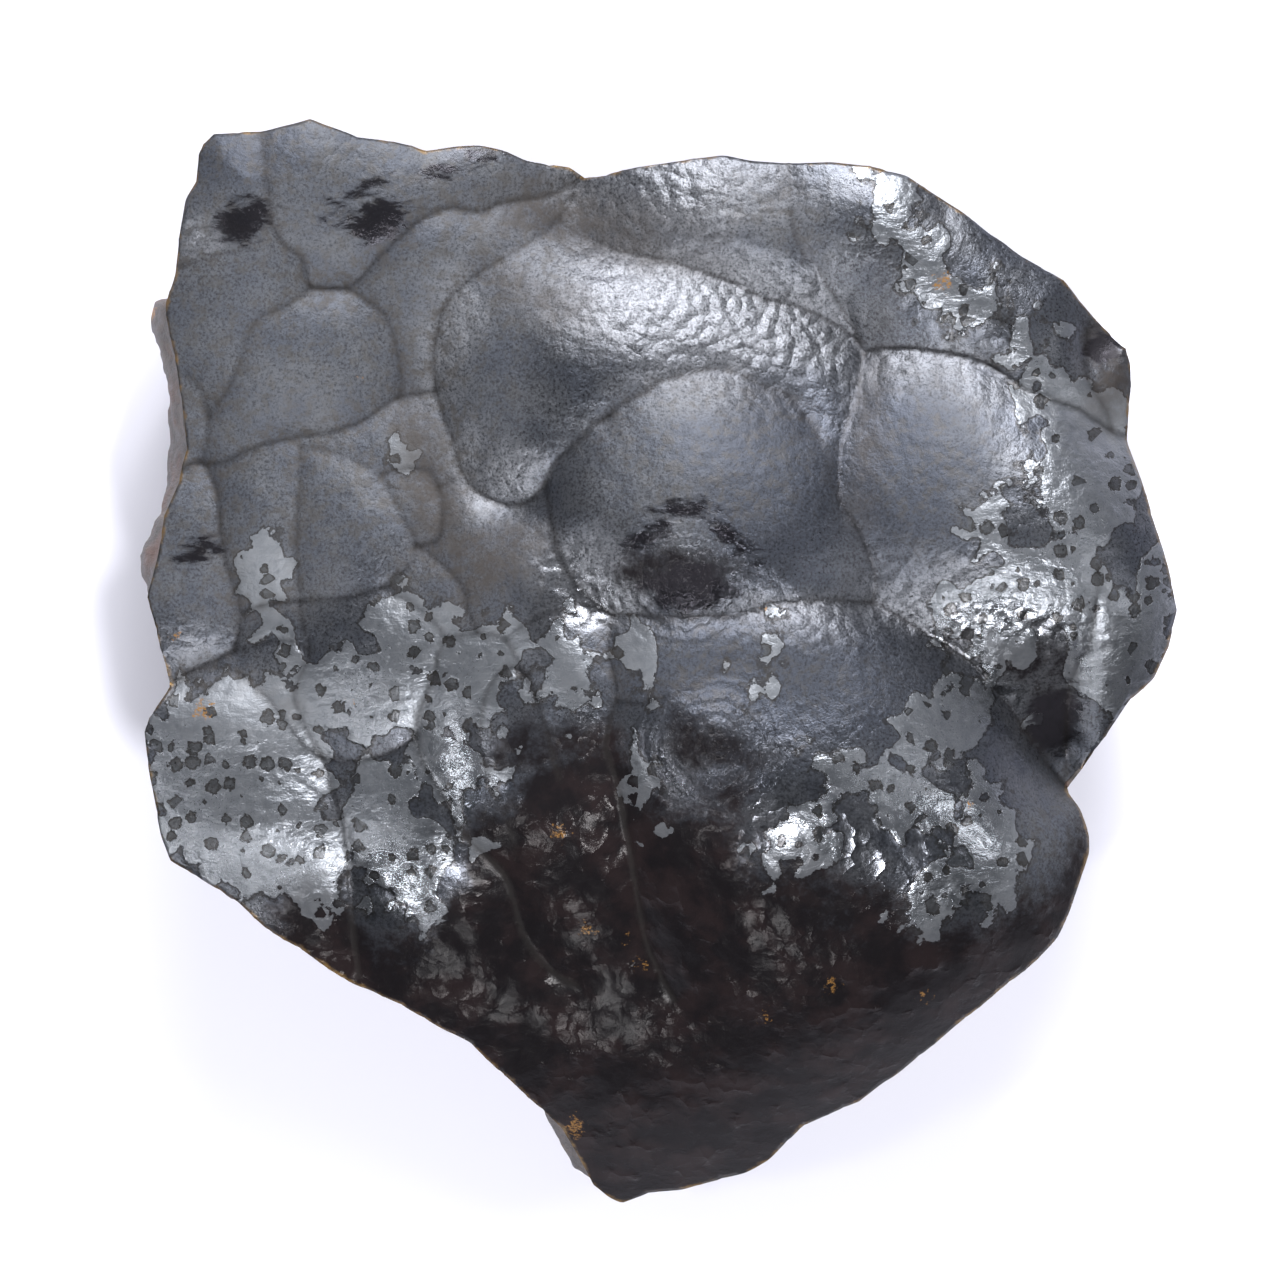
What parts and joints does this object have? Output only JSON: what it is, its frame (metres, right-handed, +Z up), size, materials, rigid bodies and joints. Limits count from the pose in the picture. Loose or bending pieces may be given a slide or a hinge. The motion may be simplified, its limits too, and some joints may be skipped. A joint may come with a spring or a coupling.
{
  "type": "hematite specimen",
  "caption": "Loose hand specimen of kidney ore: rounded metallic grey lobes meeting in creases over broken sides and a flat broken underside.",
  "frame": {"origin": "on the surface that the stone lies on, below the middle of its box", "axes": "+Z up, away from the broken underside; +Y towards the far edge, which is the top of the picture; +X to the picture's right"},
  "size_m": [0.0669, 0.0702, 0.028],
  "materials": {
    "ore": "satin metallic blue-grey, near black and pitted on the near slope, with brown dust in the creases"
  },
  "bodies": {
    "root": {"hematite": "ore"}
  },
  "joints": []
}
